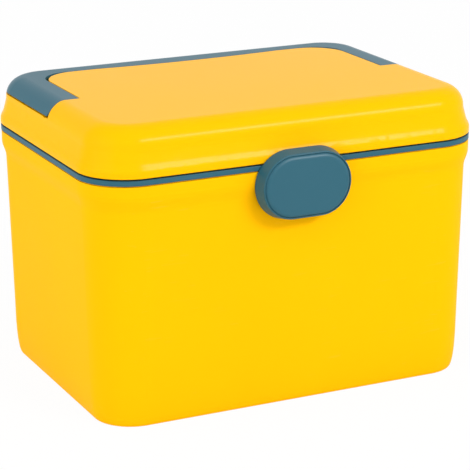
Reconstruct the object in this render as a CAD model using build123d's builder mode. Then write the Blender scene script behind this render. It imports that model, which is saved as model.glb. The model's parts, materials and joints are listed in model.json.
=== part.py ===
import math
import os

from build123d import *

os.makedirs("parts", exist_ok=True)

# Millimetres. X to the right, Y to the back, Z up, origin on the floor under the centre of the box

# Overall sizes
WIDTH = 270.0
DEPTH = 196.5
HEIGHT = 190.7
CORNER = 33.0  # corner radius of the rim band seen from above, where every inset is zero
SIDE = WIDTH / 2
REAR = DEPTH / 2
FRONT = -REAR
CLEAR = 2 * WIDTH  # reach of cuts that run past the whole box
OVERRUN = 1.0  # how far cuts and joined bodies run past a face
QUARTER = 90  # degrees

# Seam between tub and lid, from the lid's height down
LID_HEIGHT = 30.1
SEAM_GAP = 1.0
BAND_HEIGHT = 3.2
LID_BOTTOM = HEIGHT - LID_HEIGHT
BAND_TOP = LID_BOTTOM - SEAM_GAP
BODY_TOP = BAND_TOP - BAND_HEIGHT

# Tub, given as insets from the outer face of the rim band
BODY_WALL = 2.2
RIM_STEP = 0.8  # shadow groove under the band
RIM_STEP_WIDTH = 1.2
RIM_INSET = 0.2
FLARE_TOP_DROP = 7.4
FLARE_HEIGHT = 11.0
FLARE_TOP = BODY_TOP - FLARE_TOP_DROP
FLARE_BOTTOM = FLARE_TOP - FLARE_HEIGHT
FLARE_LEAN = 0.03
WAIST_INSET = 2.7
CURVE_TOP = 31.0
CURVE_INSET = 5.0
CURVE_IN = 3.5
FOOT_WIDTH = 5.0
FOOT_HEIGHT = 1.2
FLOOR_TOP = 3.6
FLOOR_CORNER_INSET = 9.2

# Rim band
BAND_FLANGE = 2.0
LEDGE_INNER = 16.0
LIP_INSET = 4.2  # upstand that the gasket closes on
LIP_WIDTH = 1.8
LIP_TOP = BAND_TOP + 4.0
SKIRT_INSET = 3.2
SKIRT_WIDTH = 1.8
SKIRT_DEPTH = 6.9

# Lid, with the insets and heights of its side from the lip up
LID_WALL = 2.0
LID_EDGE = 0.5
LID_EDGE_INSET = 0.2
LID_PROUD = 0.2
LID_LIP_TOP = LID_BOTTOM + 2.6
COVE_LOW_INSET = 1.5
COVE_LOW = LID_BOTTOM + 7.4
COVE_HIGH_INSET = 3.1
COVE_HIGH = LID_BOTTOM + 12.9
SHOULDER_INSET = 4.0
CROWN_RADIUS = 13.0
SHOULDER = HEIGHT - CROWN_RADIUS
CORE_INSET = 25.0

# Handle and its recess
HANDLE_THICK = 5.6
HANDLE_DEPTH = 9.4
HANDLE_BOTTOM = HEIGHT - HANDLE_DEPTH
HANDLE_SKIRT = 6.2
HANDLE_GAP = 0.4
HANDLE_EDGE_GAP = 0.8
HANDLE_UNDER_GAP = 1.1
ARM_WIDTH = 27.1
BAR_WIDTH = 27.4
PANEL_HALF_WIDTH = SIDE - ARM_WIDTH  # flat panel of the lid inside the handle
PANEL_REAR = REAR - BAR_WIDTH
PANEL_CORNER = 24.0
HANDLE_CORNER = 20.0
BOW_RADIUS = 700.0  # the panel's rear edge is hollowed, which widens the grip
BOW_DEPTH = 3.2
RECESS_WALL = 2.2
PIVOT_Y = -0.2
PIVOT_Z = HEIGHT - 4.5
ARM_END_RADIUS = 6.1
HANDLE_PIN_RADIUS = 2.0
HANDLE_PIN_LENGTH = 22.5
HANDLE_PIN_IN = PANEL_HALF_WIDTH - 7.4
HANDLE_PIN_OUT = HANDLE_PIN_IN + HANDLE_PIN_LENGTH
PIN_END_GAP = 0.5
PIN_BOSS_RADIUS = 4.4
SCOOP_HALF_WIDTH = 38.0
SCOOP_DEPTH = 14.0
SCOOP_FLOOR = HANDLE_BOTTOM - 9.7
GRIP_BOTTOM = HANDLE_BOTTOM + 2.0
GRIP_HALF_WIDTH = 36.0
HANDLE_RIB = 1.6
CHANNEL_WALL = 2.4
CHANNEL_DEPTH = 3.0
CHANNEL_START = PIVOT_Y + 3 * ARM_END_RADIUS
RIB_PITCH = 24.0
RIBS_ALONG = 9
RIBS_ACROSS = 7

# Hinge at the back
HINGE_Y = REAR + 2.75
HINGE_Z = BAND_TOP + 0.5
HINGE_X = SIDE - 63.0
KNUCKLE_RADIUS = 4.2
KNUCKLE_NOTCH = 4.8
LID_KNUCKLE = 14.0
BAND_KNUCKLE = 9.0
KNUCKLE_GAP = 0.4
KNUCKLE_WEB = 6.0
HINGE_PIN_RADIUS = 1.5
RUNNING_FIT = 0.05

# Latch
LATCH_WIDTH = 63.8  # at the back, from where the sides taper forward
LATCH_HEIGHT = 44.6
LATCH_TAPER = 11.5
LATCH_SLOPE = math.tan(math.radians(LATCH_TAPER))
LATCH_Z = BAND_TOP - 13.4
LATCH_BACK = FRONT - 0.45
LATCH_HEAD_BACK = FRONT - 1.05
LATCH_RIM = FRONT - 9.7
LATCH_FACE = LATCH_RIM - 1.0
LATCH_SEAM = LATCH_RIM + 3.3
LATCH_WALL = 2.0
LATCH_RIM_WALL = 0.9
LATCH_RIM_EDGE = 0.4
COVER_GAP = 0.05
COVER_EDGE = 3.0
COVER_WALL = 2.3
LATCH_PIVOT_Y = FRONT - 4.35
LATCH_PIVOT_Z = LID_BOTTOM + 2.0
LATCH_PIN_RADIUS = 1.25
LUG_RADIUS = 2.5
LUG_IN = 8.4
LUG_WIDTH = 3.6
LUG_OUT = LUG_IN + LUG_WIDTH
CHEEK_IN = LUG_OUT + 0.4
CHEEK_WIDTH = 3.6
CHEEK_OUT = CHEEK_IN + CHEEK_WIDTH
CHEEK_BELOW = 4.0
LATCH_PIN_HALF = CHEEK_OUT - 0.4
CATCH_HALF_WIDTH = 12.0
CATCH_DEPTH = 1.9
CATCH_BOTTOM = BAND_TOP - 2.6
CATCH_TOP = BAND_TOP - 0.3
HOOK_GAP = 0.35
HOOK_TOP = CATCH_BOTTOM - 1.6
HOOK_BOTTOM = HOOK_TOP - 3.8
LEVER_PLATE_TOP = HOOK_TOP + 0.6
SPRING_WIRE = 0.4
SPRING_RADIUS = 2.0
SPRING_TURNS = 7
SPRING_PITCH = 0.75
SPRING_LEG = 4.0

# Lid liner, gasket and screws
LINER_BOTTOM = LID_BOTTOM + 6.6
LINER_THICK = 1.6
LINER_TOP = LINER_BOTTOM + LINER_THICK
LINER_INSET = 3.8
LINER_PLATE_INSET = 4.6
LINER_RIM_INSET = 3.3
GROOVE_OUT = 4.1
GROOVE_IN = 6.5
GROOVE_BOTTOM = LINER_BOTTOM - 1.8
GROOVE_RIB = 0.8
GASKET_GAP = 0.1
GASKET_BOTTOM = LIP_TOP + 0.3
SCREW_SIDE_INSET = 43.0
SCREW_FRONT_INSET = 42.0
SCREW_FRONT_MIDDLE_INSET = 34.0
SCREW_REAR_INSET = 20.0
SCREW_REAR_MIDDLE_INSET = 14.0
SCREW_RISE = 13.8
SCREW_X = SIDE - SCREW_SIDE_INSET
SCREW_FRONT = FRONT + SCREW_FRONT_INSET
SCREW_FRONT_MIDDLE = FRONT + SCREW_FRONT_MIDDLE_INSET
SCREW_REAR = PANEL_REAR - SCREW_REAR_INSET
SCREW_REAR_MIDDLE = PANEL_REAR - SCREW_REAR_MIDDLE_INSET
SCREW_SPOTS = [
    (-SCREW_X, SCREW_FRONT),
    (0, SCREW_FRONT_MIDDLE),
    (SCREW_X, SCREW_FRONT),
    (-SCREW_X, SCREW_REAR),
    (0, SCREW_REAR_MIDDLE),
    (SCREW_X, SCREW_REAR),
]
SCREW_RADIUS = 1.5
SCREW_HOLE_GAP = 0.2
SCREW_TOP = LINER_BOTTOM + SCREW_RISE
SCREW_HEAD_RADIUS = 3.0
SCREW_HEAD = 1.5
SCREW_PAD_RADIUS = 5.0
SCREW_PAD = 1.4
SCREW_BOSS_RADIUS = 3.8
DRIVE_WIDTH = 0.8
DRIVE_DEPTH = 0.8

# Tray
TRAY_TOP = BAND_TOP + 1.9
TRAY_FLANGE = 1.6
TRAY_FLANGE_INSET = 11.4
TRAY_INSET = 17.3
TRAY_WALL = 1.8
TRAY_DEPTH = 45.3
TRAY_BOTTOM = TRAY_TOP - TRAY_DEPTH
TRAY_FLOOR = TRAY_BOTTOM + TRAY_WALL
TRAY_DRAFT = 1.0
TRAY_FOOT = 1.4
TAB_INSET = 13.4
TAB_HALF_WIDTH = 22.0
TAB_HEIGHT = 3.7
TRAY_DIVIDER = 1.6
TRAY_DIVIDER_TOP = TRAY_TOP - 6.5
TRAY_CROSS_X = 42.0
SLOT_RIB = 1.2
SLOT_DEPTH = 2.2
SLOT_GAP = 0.2
SLIDE_GAP = 0.3
DIVIDER_LIFT = 0.1

# Lower dividers
LOWER_DIVIDER = 1.8
LOWER_DIVIDER_X = 45.0
LOWER_DIVIDER_TOP = TRAY_BOTTOM - 8.2
BODY_RIB = 1.6
BODY_RIB_INNER = 12.0
FINGER_NOTCH = 14.0


def at(inset):
    """X of a point on the right side, this far inside the rim band's face."""
    return SIDE - inset


def rim_outline():
    """Rounded rectangle of the rim band's outer face, starting on the right side at Y = 0."""
    reach_x = SIDE - CORNER
    reach_y = REAR - CORNER
    with BuildLine() as outline:
        Line((SIDE, 0), (SIDE, reach_y))
        CenterArc((reach_x, reach_y), CORNER, 0, QUARTER)
        Line((reach_x, REAR), (-reach_x, REAR))
        CenterArc((-reach_x, reach_y), CORNER, QUARTER, QUARTER)
        Line((-SIDE, reach_y), (-SIDE, -reach_y))
        CenterArc((-reach_x, -reach_y), CORNER, 2 * QUARTER, QUARTER)
        Line((-reach_x, FRONT), (reach_x, FRONT))
        CenterArc((reach_x, -reach_y), CORNER, 3 * QUARTER, QUARTER)
        Line((SIDE, -reach_y), (SIDE, 0))
    return outline.wire()


RIM = rim_outline()


def rounded(inset):
    """Width, depth and corner radius of the rim outline moved inward."""
    return WIDTH - 2 * inset, DEPTH - 2 * inset, CORNER - inset


def ring(section):
    """Carry a closed section of (inset, height) points round the rim outline."""
    with BuildPart() as part:
        with BuildSketch(Plane.XZ):
            with BuildLine():
                Polyline([(at(inset), height) for inset, height in section], close=True)
            make_face()
        sweep(path=RIM)
    return part.part


def body_solid(shift, bottom):
    """Solid tub with its side moved inward by shift, from the given height to the rim."""
    with BuildPart() as part:
        with BuildSketch(Plane.XZ):
            with BuildLine():
                if shift == 0:
                    centre = (at(CURVE_INSET + CURVE_IN), CURVE_TOP)
                    EllipticalCenterArc(centre, CURVE_IN, CURVE_TOP, 3 * QUARTER, arc_size=QUARTER)
                    foot = (at(CURVE_INSET + CURVE_IN), bottom)
                else:
                    foot = (at(FLOOR_CORNER_INSET), bottom)
                    Line(foot, (at(CURVE_INSET + shift), CURVE_TOP))
                Line((at(CURVE_INSET + shift), CURVE_TOP), (at(WAIST_INSET + shift), FLARE_BOTTOM))
                Spline(
                    (at(WAIST_INSET + shift), FLARE_BOTTOM),
                    (at(RIM_INSET + shift), FLARE_TOP),
                    tangents=((FLARE_LEAN, 1), (0, 1)),
                )
                Polyline(
                    (at(RIM_INSET + shift), FLARE_TOP),
                    (at(RIM_INSET + shift), BODY_TOP),
                    (at(CORE_INSET), BODY_TOP),
                    (at(CORE_INSET), bottom),
                    foot,
                )
            make_face()
        sweep(path=RIM)
        with BuildSketch(Plane.XY.offset(bottom)):
            RectangleRounded(*rounded(CORE_INSET - OVERRUN))
        extrude(amount=BODY_TOP - bottom)
    return part.part


def lid_solid(shift, bottom):
    """Solid lid with its side and top moved inward by shift, down to the given height."""
    with BuildPart() as part:
        with BuildSketch(Plane.XZ):
            with BuildLine():
                lip_x = at(shift - LID_PROUD)
                edge = Line((at(LID_EDGE_INSET + shift), bottom), (lip_x, LID_BOTTOM + LID_EDGE))
                lip = Line(edge @ 1, (lip_x, LID_LIP_TOP))
                cove = Spline(
                    lip @ 1,
                    (at(COVE_LOW_INSET + shift), COVE_LOW),
                    (at(COVE_HIGH_INSET + shift), COVE_HIGH),
                    (at(SHOULDER_INSET + shift), SHOULDER),
                    tangents=((0, 1), (0, 1)),
                )
                centre = (at(SHOULDER_INSET + CROWN_RADIUS), SHOULDER)
                crown = CenterArc(centre, CROWN_RADIUS - shift, 0, QUARTER)
                Polyline(crown @ 1, (at(CORE_INSET), HEIGHT - shift), (at(CORE_INSET), bottom), edge @ 0)
            make_face()
        sweep(path=RIM)
        with BuildSketch(Plane.XY.offset(bottom)):
            RectangleRounded(*rounded(CORE_INSET - OVERRUN))
        extrude(amount=HEIGHT - shift - bottom)
    return part.part


def save(part, name):
    """Label a finished piece and write it."""
    part.label = name
    export_step(part, f"parts/{name}.step")


def cross_rod(radius, start, end, y, z):
    """Round bar along X between two X values."""
    with BuildPart() as rod:
        with BuildSketch(Plane.YZ.offset(min(start, end))):
            with Locations((y, z)):
                Circle(radius)
        extrude(amount=abs(end - start))
    return rod.part


def block(x0, x1, y0, y1, z0, z1):
    """Box between two X, two Y and two Z values."""
    with BuildPart() as box:
        with Locations(((x0 + x1) / 2, (y0 + y1) / 2, (z0 + z1) / 2)):
            Box(abs(x1 - x0), abs(y1 - y0), abs(z1 - z0))
    return box.part


def knuckle_ranges():
    """X ranges of the lid's knuckles and of the rim band's knuckles."""
    lid = []
    band = []
    for side in (-1, 1):
        centre = side * HINGE_X
        lid.append((centre - LID_KNUCKLE / 2, centre + LID_KNUCKLE / 2))
        start = LID_KNUCKLE / 2 + KNUCKLE_GAP
        band.append((centre - start - BAND_KNUCKLE, centre - start))
        band.append((centre + start, centre + start + BAND_KNUCKLE))
    return lid, band


LID_KNUCKLES, BAND_KNUCKLES = knuckle_ranges()


# Body shell: a tub with a flared rim, a foot ring and ribs for the lower dividers
def make_body_shell():
    outer = body_solid(0, 0)
    cavity = body_solid(BODY_WALL, FLOOR_TOP)
    groove = ring(
        [
            (-OVERRUN, BODY_TOP - RIM_STEP),
            (RIM_STEP_WIDTH, BODY_TOP - RIM_STEP),
            (RIM_STEP_WIDTH, BODY_TOP + OVERRUN),
            (-OVERRUN, BODY_TOP + OVERRUN),
        ]
    )
    slot = LOWER_DIVIDER / 2 + SLIDE_GAP
    with BuildPart() as ribs:
        for side in (-1, 1):
            for edge in (-1, 1):
                middle = side * LOWER_DIVIDER_X + edge * (slot + BODY_RIB / 2)
                with Locations((middle, 0, (FLOOR_TOP + LOWER_DIVIDER_TOP) / 2)):
                    Box(BODY_RIB, DEPTH, LOWER_DIVIDER_TOP - FLOOR_TOP)
        middle_space = block(-SIDE, SIDE, FRONT + BODY_RIB_INNER, REAR - BODY_RIB_INNER, 0, BODY_TOP)
        add(middle_space, mode=Mode.SUBTRACT)
        add(outer, mode=Mode.INTERSECT)
    with BuildPart() as body_shell:
        add(outer)
        add(cavity, mode=Mode.SUBTRACT)
        add(groove, mode=Mode.SUBTRACT)
        add(ribs.part)
        with BuildSketch(Plane.XY):
            RectangleRounded(*rounded(CURVE_INSET + CURVE_IN + FOOT_WIDTH))
        extrude(amount=FOOT_HEIGHT, mode=Mode.SUBTRACT)
    save(body_shell.part, "body_shell")


# Rim band: frame on the tub's rim with a tray ledge, an upstand, a catch and hinge knuckles
def make_rim_band():
    lip_inner = LIP_INSET + LIP_WIDTH
    frame = ring(
        [
            (0, BODY_TOP),
            (0, BAND_TOP),
            (LIP_INSET, BAND_TOP),
            (LIP_INSET, LIP_TOP),
            (lip_inner, LIP_TOP),
            (lip_inner, BAND_TOP),
            (LEDGE_INNER, BAND_TOP),
            (LEDGE_INNER, BAND_TOP - BAND_FLANGE),
            (SKIRT_INSET + SKIRT_WIDTH, BAND_TOP - BAND_FLANGE),
            (SKIRT_INSET + SKIRT_WIDTH, BODY_TOP - SKIRT_DEPTH),
            (SKIRT_INSET, BODY_TOP - SKIRT_DEPTH),
            (SKIRT_INSET, BODY_TOP),
        ]
    )
    with BuildPart() as rim_band:
        add(frame)
        for start, end in LID_KNUCKLES:
            notch = cross_rod(KNUCKLE_NOTCH, start - KNUCKLE_GAP, end + KNUCKLE_GAP, HINGE_Y, HINGE_Z)
            add(notch, mode=Mode.SUBTRACT)
        for start, end in BAND_KNUCKLES:
            add(cross_rod(KNUCKLE_RADIUS, start, end, HINGE_Y, HINGE_Z))
        for start, end in BAND_KNUCKLES:
            hole = cross_rod(HINGE_PIN_RADIUS, start - OVERRUN, end + OVERRUN, HINGE_Y, HINGE_Z)
            add(hole, mode=Mode.SUBTRACT)
        with BuildSketch(Plane.YZ.offset(-CATCH_HALF_WIDTH)):
            with BuildLine():
                Polyline(
                    (FRONT + OVERRUN, CATCH_TOP),
                    (FRONT, CATCH_TOP),
                    (FRONT - CATCH_DEPTH, CATCH_BOTTOM + OVERRUN),
                    (FRONT - CATCH_DEPTH, CATCH_BOTTOM),
                    (FRONT + OVERRUN, CATCH_BOTTOM),
                    close=True,
                )
            make_face()
        extrude(amount=2 * CATCH_HALF_WIDTH)
    save(rim_band.part, "rim_band")


# Hinge pins, pressed into the rim band's knuckles
def make_hinge_pins():
    half = LID_KNUCKLE / 2 + KNUCKLE_GAP + BAND_KNUCKLE
    for side, name in ((-1, "hinge_pin_left"), (1, "hinge_pin_right")):
        with BuildPart() as pin:
            add(cross_rod(HINGE_PIN_RADIUS, side * HINGE_X - half, side * HINGE_X + half, HINGE_Y, HINGE_Z))
        save(pin.part, name)


# Recess of the handle, for the cut in the lid and for the wall that closes it from inside
def handle_recess(grow):
    skirt_inner = SHOULDER_INSET + HANDLE_SKIRT + HANDLE_GAP + grow
    floor = HEIGHT - HANDLE_THICK - HANDLE_GAP - grow
    ledge = HANDLE_BOTTOM - HANDLE_UNDER_GAP - grow
    panel_half = PANEL_HALF_WIDTH - grow
    panel_rear = PANEL_REAR - grow
    with BuildPart() as recess:
        with BuildSketch(Plane.XY.offset(floor)):
            Rectangle(CLEAR, CLEAR)
            with Locations((0, panel_rear - DEPTH)):
                RectangleRounded(2 * panel_half, 2 * DEPTH, PANEL_CORNER, mode=Mode.SUBTRACT)
            with Locations((0, panel_rear - BOW_DEPTH + BOW_RADIUS)):
                Circle(BOW_RADIUS)
        extrude(amount=HEIGHT - floor + OVERRUN)
        with BuildSketch(Plane.XY.offset(ledge)):
            Rectangle(CLEAR, CLEAR)
            RectangleRounded(*rounded(skirt_inner), mode=Mode.SUBTRACT)
        extrude(amount=HEIGHT - ledge + OVERRUN)
        add(block(-CLEAR, CLEAR, -CLEAR, PIVOT_Y, 0, CLEAR), mode=Mode.SUBTRACT)
        for side in (-1, 1):
            radius = ARM_END_RADIUS + HANDLE_GAP + grow
            add(cross_rod(radius, side * panel_half, side * WIDTH, PIVOT_Y, PIVOT_Z))
            arm_in = side * at(skirt_inner)
            add(block(arm_in, side * WIDTH, PIVOT_Y - radius, PIVOT_Y, ledge, PIVOT_Z))
        scoop_front = REAR - SCOOP_DEPTH - grow
        scoop_half = SCOOP_HALF_WIDTH + grow
        scoop_top = HEIGHT - HANDLE_THICK + HANDLE_GAP
        add(block(-scoop_half, scoop_half, scoop_front, CLEAR, SCOOP_FLOOR - grow, scoop_top))
    return recess.part


# Lid shell: coved wall, rounded crown, handle recess, screw bosses, knuckles and latch lugs
def make_lid_shell():
    outer = lid_solid(0, LID_BOTTOM)
    cavity = lid_solid(LID_WALL, LID_BOTTOM - OVERRUN)
    recess = handle_recess(0)
    with BuildPart() as inner_forms:
        add(handle_recess(RECESS_WALL))
        boss_bottom = LINER_TOP + SCREW_PAD
        with BuildSketch(Plane.XY.offset(boss_bottom)):
            with Locations(*SCREW_SPOTS):
                Circle(SCREW_BOSS_RADIUS)
        extrude(amount=HEIGHT - boss_bottom)
        for side in (-1, 1):
            near = PIVOT_Y - PIN_BOSS_RADIUS
            far = PIVOT_Y + PIN_BOSS_RADIUS
            boss_in = side * (HANDLE_PIN_IN - OVERRUN)
            add(block(boss_in, side * PANEL_HALF_WIDTH, near, far, PIVOT_Z - PIN_BOSS_RADIUS, HEIGHT))
        add(outer, mode=Mode.INTERSECT)
    with BuildPart() as lid_shell:
        add(outer)
        add(cavity, mode=Mode.SUBTRACT)
        add(inner_forms.part)
        add(recess, mode=Mode.SUBTRACT)
        with BuildSketch(Plane.XY.offset(LINER_BOTTOM)):
            with Locations(*SCREW_SPOTS):
                Circle(SCREW_RADIUS)
        extrude(amount=SCREW_TOP - LINER_BOTTOM, mode=Mode.SUBTRACT)
        for side in (-1, 1):
            pin_hole = cross_rod(HANDLE_PIN_RADIUS, side * HANDLE_PIN_IN, side * SIDE, PIVOT_Y, PIVOT_Z)
            add(pin_hole, mode=Mode.SUBTRACT)
        for start, end in BAND_KNUCKLES:
            notch = cross_rod(KNUCKLE_NOTCH, start - KNUCKLE_GAP, end + KNUCKLE_GAP, HINGE_Y, HINGE_Z)
            add(notch, mode=Mode.SUBTRACT)
        for start, end in LID_KNUCKLES:
            add(cross_rod(KNUCKLE_RADIUS, start, end, HINGE_Y, HINGE_Z))
            with BuildSketch(Plane.YZ.offset(start)):
                with BuildLine():
                    Polyline(
                        (REAR - OVERRUN, LID_BOTTOM),
                        (REAR - OVERRUN, LID_BOTTOM + KNUCKLE_WEB),
                        (HINGE_Y, HINGE_Z + KNUCKLE_RADIUS),
                        (HINGE_Y, HINGE_Z),
                        close=True,
                    )
                make_face()
            extrude(amount=end - start)
        for start, end in LID_KNUCKLES:
            bore = HINGE_PIN_RADIUS + RUNNING_FIT
            hole = cross_rod(bore, start - OVERRUN, end + OVERRUN, HINGE_Y, HINGE_Z)
            add(hole, mode=Mode.SUBTRACT)
        for side in (-1, 1):
            add(cross_rod(LUG_RADIUS, side * LUG_IN, side * LUG_OUT, LATCH_PIVOT_Y, LATCH_PIVOT_Z))
            root = FRONT + OVERRUN
            add(block(side * LUG_IN, side * LUG_OUT, LATCH_PIVOT_Y, root, LID_BOTTOM, LATCH_PIVOT_Z))
        half = LATCH_PIN_HALF
        add(cross_rod(LATCH_PIN_RADIUS, -half, half, LATCH_PIVOT_Y, LATCH_PIVOT_Z), mode=Mode.SUBTRACT)
    save(lid_shell.part, "lid_shell")
    return outer


# Handle: U-shaped bail whose outside is the lid's own surface
def make_handle(outer):
    edge = HANDLE_EDGE_GAP
    skirt_inner = SHOULDER_INSET + HANDLE_SKIRT
    plate_bottom = HEIGHT - HANDLE_THICK
    arm_half = PANEL_HALF_WIDTH + edge
    opening = 2 * (arm_half + CHANNEL_WALL)
    with BuildPart() as channel:
        with BuildSketch(Plane.XY.offset(plate_bottom - OVERRUN)):
            RectangleRounded(*rounded(skirt_inner + CHANNEL_WALL))
            with Locations((0, PANEL_REAR + edge + CHANNEL_WALL - DEPTH)):
                RectangleRounded(opening, 2 * DEPTH, HANDLE_CORNER, mode=Mode.SUBTRACT)
        extrude(amount=CHANNEL_DEPTH + OVERRUN)
        add(block(-CLEAR, CLEAR, -CLEAR, CHANNEL_START, 0, CLEAR), mode=Mode.SUBTRACT)
        with GridLocations(RIB_PITCH, DEPTH, RIBS_ALONG, 1):
            Box(HANDLE_RIB, CLEAR, CLEAR, mode=Mode.SUBTRACT)
        with GridLocations(WIDTH, RIB_PITCH, 1, RIBS_ACROSS):
            Box(CLEAR, HANDLE_RIB, CLEAR, mode=Mode.SUBTRACT)
    with BuildPart() as handle:
        with BuildSketch(Plane.XY.offset(plate_bottom)):
            Rectangle(CLEAR, CLEAR)
            with Locations((0, PANEL_REAR + edge - DEPTH)):
                RectangleRounded(2 * arm_half, 2 * DEPTH, HANDLE_CORNER, mode=Mode.SUBTRACT)
            with Locations((0, PANEL_REAR + edge - BOW_DEPTH + BOW_RADIUS)):
                Circle(BOW_RADIUS)
        extrude(amount=HANDLE_THICK)
        with BuildSketch(Plane.XY.offset(HANDLE_BOTTOM)):
            Rectangle(CLEAR, CLEAR)
            RectangleRounded(*rounded(skirt_inner), mode=Mode.SUBTRACT)
        extrude(amount=HEIGHT - HANDLE_BOTTOM)
        add(block(-CLEAR, CLEAR, -CLEAR, PIVOT_Y, 0, CLEAR), mode=Mode.SUBTRACT)
        for side in (-1, 1):
            add(cross_rod(ARM_END_RADIUS, side * arm_half, side * SIDE, PIVOT_Y, PIVOT_Z))
        add(block(-CLEAR, CLEAR, -CLEAR, CLEAR, 0, HANDLE_BOTTOM), mode=Mode.SUBTRACT)
        add(outer, mode=Mode.INTERSECT)
        add(channel.part, mode=Mode.SUBTRACT)
        grip_front = REAR - skirt_inner - OVERRUN
        add(block(-GRIP_HALF_WIDTH, GRIP_HALF_WIDTH, grip_front, CLEAR, 0, GRIP_BOTTOM), mode=Mode.SUBTRACT)
        for side in (-1, 1):
            bore = HANDLE_PIN_RADIUS + RUNNING_FIT
            bore_end = side * (HANDLE_PIN_OUT + PIN_END_GAP)
            add(cross_rod(bore, side * HANDLE_PIN_IN, bore_end, PIVOT_Y, PIVOT_Z), mode=Mode.SUBTRACT)
    save(handle.part, "handle")


# Handle pins, pressed into bosses of the lid
def make_handle_pins():
    for side, name in ((-1, "handle_pin_left"), (1, "handle_pin_right")):
        with BuildPart() as pin:
            add(cross_rod(HANDLE_PIN_RADIUS, side * HANDLE_PIN_IN, side * HANDLE_PIN_OUT, PIVOT_Y, PIVOT_Z))
        save(pin.part, name)


# Lid liner: inner cover plate with a groove for the gasket
def make_lid_liner():
    rim = ring(
        [
            (LINER_RIM_INSET, GROOVE_BOTTOM),
            (GROOVE_OUT, GROOVE_BOTTOM),
            (GROOVE_OUT, LINER_BOTTOM),
            (GROOVE_IN, LINER_BOTTOM),
            (GROOVE_IN, GROOVE_BOTTOM),
            (GROOVE_IN + GROOVE_RIB, GROOVE_BOTTOM),
            (GROOVE_IN + GROOVE_RIB, LINER_BOTTOM),
            (CORE_INSET, LINER_BOTTOM),
            (CORE_INSET, LINER_TOP),
            (LINER_PLATE_INSET, LINER_TOP),
            (LINER_INSET, LINER_BOTTOM),
        ]
    )
    with BuildPart() as lid_liner:
        add(rim)
        with BuildSketch(Plane.XY.offset(LINER_BOTTOM)):
            RectangleRounded(*rounded(CORE_INSET - OVERRUN))
        extrude(amount=LINER_THICK)
        with BuildSketch(Plane.XY.offset(LINER_TOP)):
            with Locations(*SCREW_SPOTS):
                Circle(SCREW_PAD_RADIUS)
        extrude(amount=SCREW_PAD)
        with Locations(*[(x, y, LINER_BOTTOM) for x, y in SCREW_SPOTS]):
            Cylinder(SCREW_HEAD_RADIUS + SCREW_HOLE_GAP, 2 * SCREW_HEAD, mode=Mode.SUBTRACT)
            Cylinder(SCREW_RADIUS + SCREW_HOLE_GAP, 3 * SCREW_PAD_RADIUS, mode=Mode.SUBTRACT)
    save(lid_liner.part, "lid_liner")


# Gasket: soft ring in the liner's groove, just above the upstand
def make_gasket():
    gasket = ring(
        [
            (GROOVE_OUT + GASKET_GAP, GASKET_BOTTOM),
            (GROOVE_IN - GASKET_GAP, GASKET_BOTTOM),
            (GROOVE_IN - GASKET_GAP, LINER_BOTTOM),
            (GROOVE_OUT + GASKET_GAP, LINER_BOTTOM),
        ]
    )
    save(gasket, "lid_gasket")


# Liner screws, one group of equal screws that come up through the liner into the lid's bosses
def make_screws():
    head_top = LINER_BOTTOM + SCREW_HEAD
    with BuildPart() as liner_screws:
        with BuildSketch(Plane.XY.offset(LINER_BOTTOM)):
            with Locations(*SCREW_SPOTS):
                Circle(SCREW_HEAD_RADIUS)
        extrude(amount=SCREW_HEAD)
        with BuildSketch(Plane.XY.offset(head_top)):
            with Locations(*SCREW_SPOTS):
                Circle(SCREW_RADIUS)
        extrude(amount=SCREW_TOP - head_top)
        with Locations(*[(x, y, LINER_BOTTOM) for x, y in SCREW_SPOTS]):
            Box(DRIVE_WIDTH, SCREW_HEAD_RADIUS, 2 * DRIVE_DEPTH, mode=Mode.SUBTRACT)
            Box(SCREW_HEAD_RADIUS, DRIVE_WIDTH, 2 * DRIVE_DEPTH, mode=Mode.SUBTRACT)
    save(liner_screws.part, "liner_screws")


def pill(inset, near, far):
    """Upright tapered pill of the latch's outline, moved inward, from Y = far forward to near."""
    inset_far = inset + (LATCH_BACK - far) * LATCH_SLOPE
    with BuildPart() as part:
        with BuildSketch(Plane.XZ.offset(-far)):
            with Locations((0, LATCH_Z)):
                SlotOverall(LATCH_WIDTH - 2 * inset_far, LATCH_HEIGHT - 2 * inset_far)
        extrude(amount=far - near, taper=LATCH_TAPER)
    return part.part


# Latch lever: open shell with a thin front rim, cheeks for the pin, a plate and a hook rib
def make_latch_lever():
    cheek_bottom = LATCH_PIVOT_Z - CHEEK_BELOW
    outer = pill(0, LATCH_RIM, LATCH_BACK)
    with BuildPart() as inside:
        for side in (-1, 1):
            add(block(side * CHEEK_IN, side * CHEEK_OUT, LATCH_SEAM, LATCH_BACK, cheek_bottom, HEIGHT))
        plate_back = LATCH_SEAM + LATCH_WALL
        add(block(-SIDE, SIDE, LATCH_SEAM, plate_back, 0, LEVER_PLATE_TOP))
        hook_back = FRONT - CATCH_DEPTH - HOOK_GAP
        add(block(-CATCH_HALF_WIDTH, CATCH_HALF_WIDTH, LATCH_SEAM, hook_back, HOOK_BOTTOM, HOOK_TOP))
        add(outer, mode=Mode.INTERSECT)
    with BuildPart() as latch_lever:
        add(outer)
        chamfer(latch_lever.faces().sort_by(Axis.Y)[0].edges(), LATCH_RIM_EDGE)
        add(pill(LATCH_WALL, LATCH_SEAM - OVERRUN, LATCH_BACK + OVERRUN), mode=Mode.SUBTRACT)
        add(pill(LATCH_RIM_WALL, LATCH_RIM - OVERRUN, LATCH_SEAM), mode=Mode.SUBTRACT)
        add(inside.part)
        head_bottom = LID_BOTTOM - SEAM_GAP
        add(block(-CLEAR, CLEAR, LATCH_HEAD_BACK, 0, head_bottom, CLEAR), mode=Mode.SUBTRACT)
        bore = LATCH_PIN_RADIUS + RUNNING_FIT
        add(cross_rod(bore, -CHEEK_OUT, CHEEK_OUT, LATCH_PIVOT_Y, LATCH_PIVOT_Z), mode=Mode.SUBTRACT)
    save(latch_lever.part, "latch_lever")


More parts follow.
